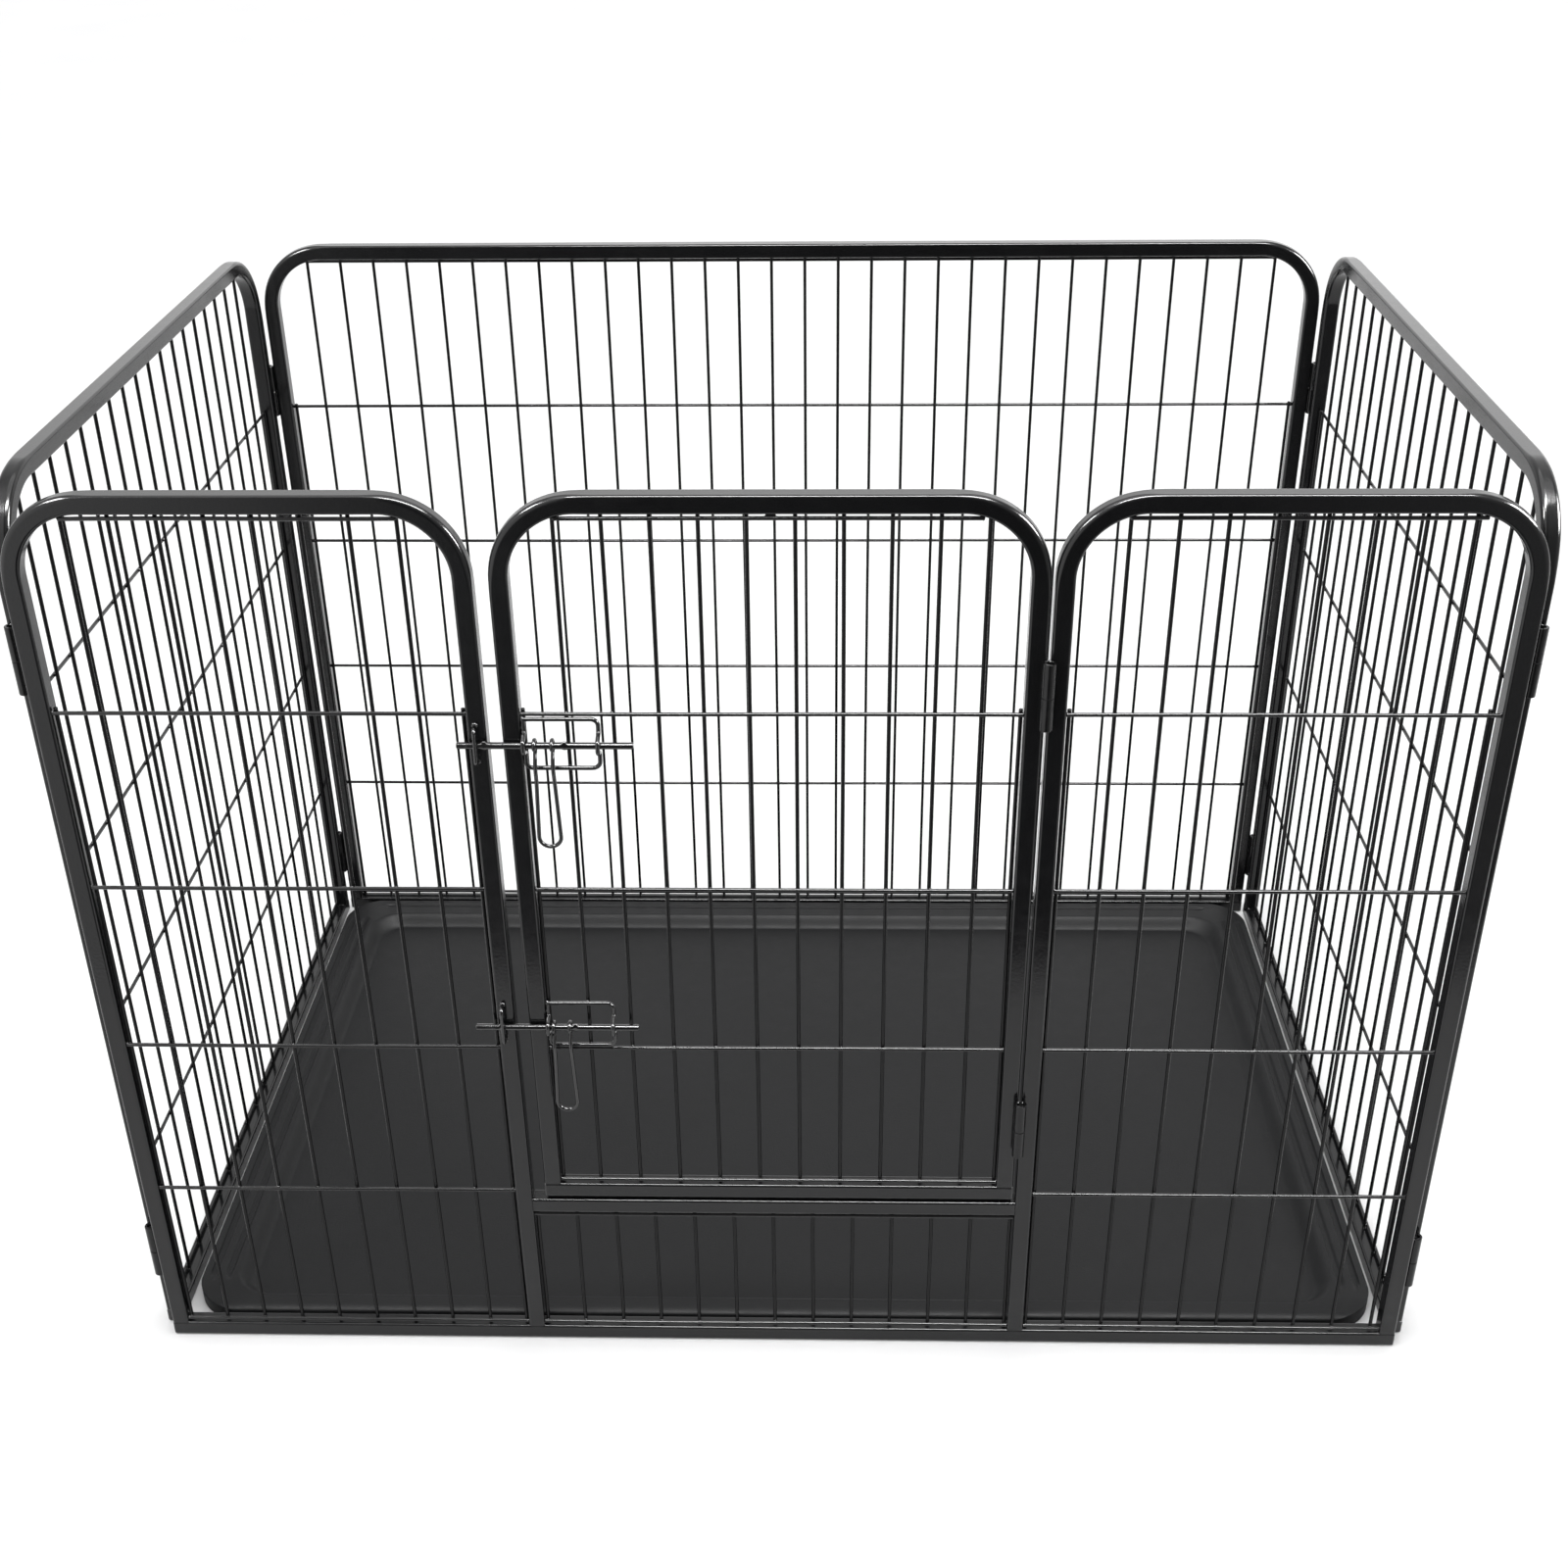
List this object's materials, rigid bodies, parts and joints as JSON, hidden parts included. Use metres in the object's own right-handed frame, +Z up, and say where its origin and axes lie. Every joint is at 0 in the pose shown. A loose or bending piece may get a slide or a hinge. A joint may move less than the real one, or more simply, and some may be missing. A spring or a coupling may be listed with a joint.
{
  "type": "pet playpen",
  "caption": "Rectangular wire-grille pet pen on square tube frames, with a bolted door, pin-hinged corner panels and a shallow floor tray.",
  "frame": {"origin": "centre of the footprint on the floor, on the tray's underside", "axes": "+X to the right along the length, -Y out of the door side, +Z up"},
  "size_m": [1.25, 0.8114, 0.9],
  "materials": {
    "tube_paint": "gloss black powder coat",
    "wire_paint": "gloss black powder coat",
    "hinge_paint": "gloss black powder coat over weld beads",
    "pin_paint": "semi-gloss black, worn",
    "latch_paint": "gloss black powder coat, worn at the bows",
    "cap_plastic": "moulded, satin",
    "tray_plastic": "matte black, fine grain"
  },
  "bodies": {
    "back_panel": {"back_frame_tube": "tube_paint", "back_bottom_rail": "tube_paint", "back_rail_caps": "cap_plastic", "back_upright_wires": "wire_paint", "back_level_wires": "wire_paint", "back_hinge_knuckles": "hinge_paint", "back_hinge_pins": "pin_paint"},
    "left_panel": {"left_frame_tube": "tube_paint", "left_bottom_rail": "tube_paint", "left_rail_caps": "cap_plastic", "left_upright_wires": "wire_paint", "left_level_wires": "wire_paint", "left_hinge_sockets": "hinge_paint"},
    "right_panel": {"right_frame_tube": "tube_paint", "right_bottom_rail": "tube_paint", "right_rail_caps": "cap_plastic", "right_upright_wires": "wire_paint", "right_level_wires": "wire_paint", "right_hinge_sockets": "hinge_paint"},
    "front_panel": {"front_left_frame_tube": "tube_paint", "front_right_frame_tube": "tube_paint", "front_bottom_rail": "tube_paint", "front_rail_caps": "cap_plastic", "front_left_upright_wires": "wire_paint", "front_left_level_wires": "wire_paint", "front_right_upright_wires": "wire_paint", "front_right_level_wires": "wire_paint", "sill_upright_wires": "wire_paint", "sill_level_wires": "wire_paint", "front_hinge_knuckles": "hinge_paint", "front_hinge_pins": "pin_paint", "door_sill_rail": "tube_paint", "door_hinge_knuckles": "hinge_paint", "door_hinge_pins": "pin_paint", "upper_bolt_catch": "latch_paint", "lower_bolt_catch": "latch_paint"},
    "door": {"door_frame_tube": "tube_paint", "door_bottom_rail": "tube_paint", "door_rail_caps": "cap_plastic", "door_upright_wires": "wire_paint", "door_level_wires": "wire_paint", "door_spacer_tab": "wire_paint", "door_hinge_sockets": "hinge_paint", "upper_bolt_guide": "latch_paint", "lower_bolt_guide": "latch_paint"},
    "upper_bolt": {"upper_bolt_rod": "latch_paint"},
    "upper_handle": {"upper_bolt_handle": "latch_paint"},
    "lower_bolt": {"lower_bolt_rod": "latch_paint"},
    "lower_handle": {"lower_bolt_handle": "latch_paint"},
    "tray": {"floor_tray": "tray_plastic"}
  },
  "joints": [
    {"name": "left_panel_swing", "type": "hinge", "parent": "back_panel", "child": "left_panel", "pos_m": [-0.6129, 0.3879, 0.45], "axis": [0, 0, -1], "range_deg": [0, 90]},
    {"name": "right_panel_swing", "type": "hinge", "parent": "back_panel", "child": "right_panel", "pos_m": [0.6129, 0.3879, 0.45], "axis": [0, 0, 1], "range_deg": [0, 90]},
    {"name": "front_panel_swing", "type": "hinge", "parent": "right_panel", "child": "front_panel", "pos_m": [0.6189, -0.3879, 0.45], "axis": [0, 0, 1], "range_deg": [0, 90]},
    {"name": "door_swing", "type": "hinge", "parent": "front_panel", "child": "door", "pos_m": [0.226, -0.4059, 0.5], "axis": [0, 0, 1], "range_deg": [0, 165]},
    {"name": "upper_bolt_slide", "type": "slide", "parent": "door", "child": "upper_bolt", "axis": [1, 0, 0], "range_m": [0, 0.024]},
    {"name": "lower_bolt_slide", "type": "slide", "parent": "door", "child": "lower_bolt", "axis": [1, 0, 0], "range_m": [0, 0.028]},
    {"name": "upper_handle_lift", "type": "hinge", "parent": "upper_bolt", "child": "upper_handle", "pos_m": [-0.188, -0.4035, 0.682], "axis": [-1, 0, 0], "range_deg": [0, 150]},
    {"name": "lower_handle_lift", "type": "hinge", "parent": "lower_bolt", "child": "lower_handle", "pos_m": [-0.192, -0.4035, 0.392], "axis": [-1, 0, 0], "range_deg": [0, 150]},
    {"name": "tray_lift", "type": "slide", "parent": "back_panel", "child": "tray", "axis": [0, 0, 1], "range_m": [0, 0.95]}
  ]
}
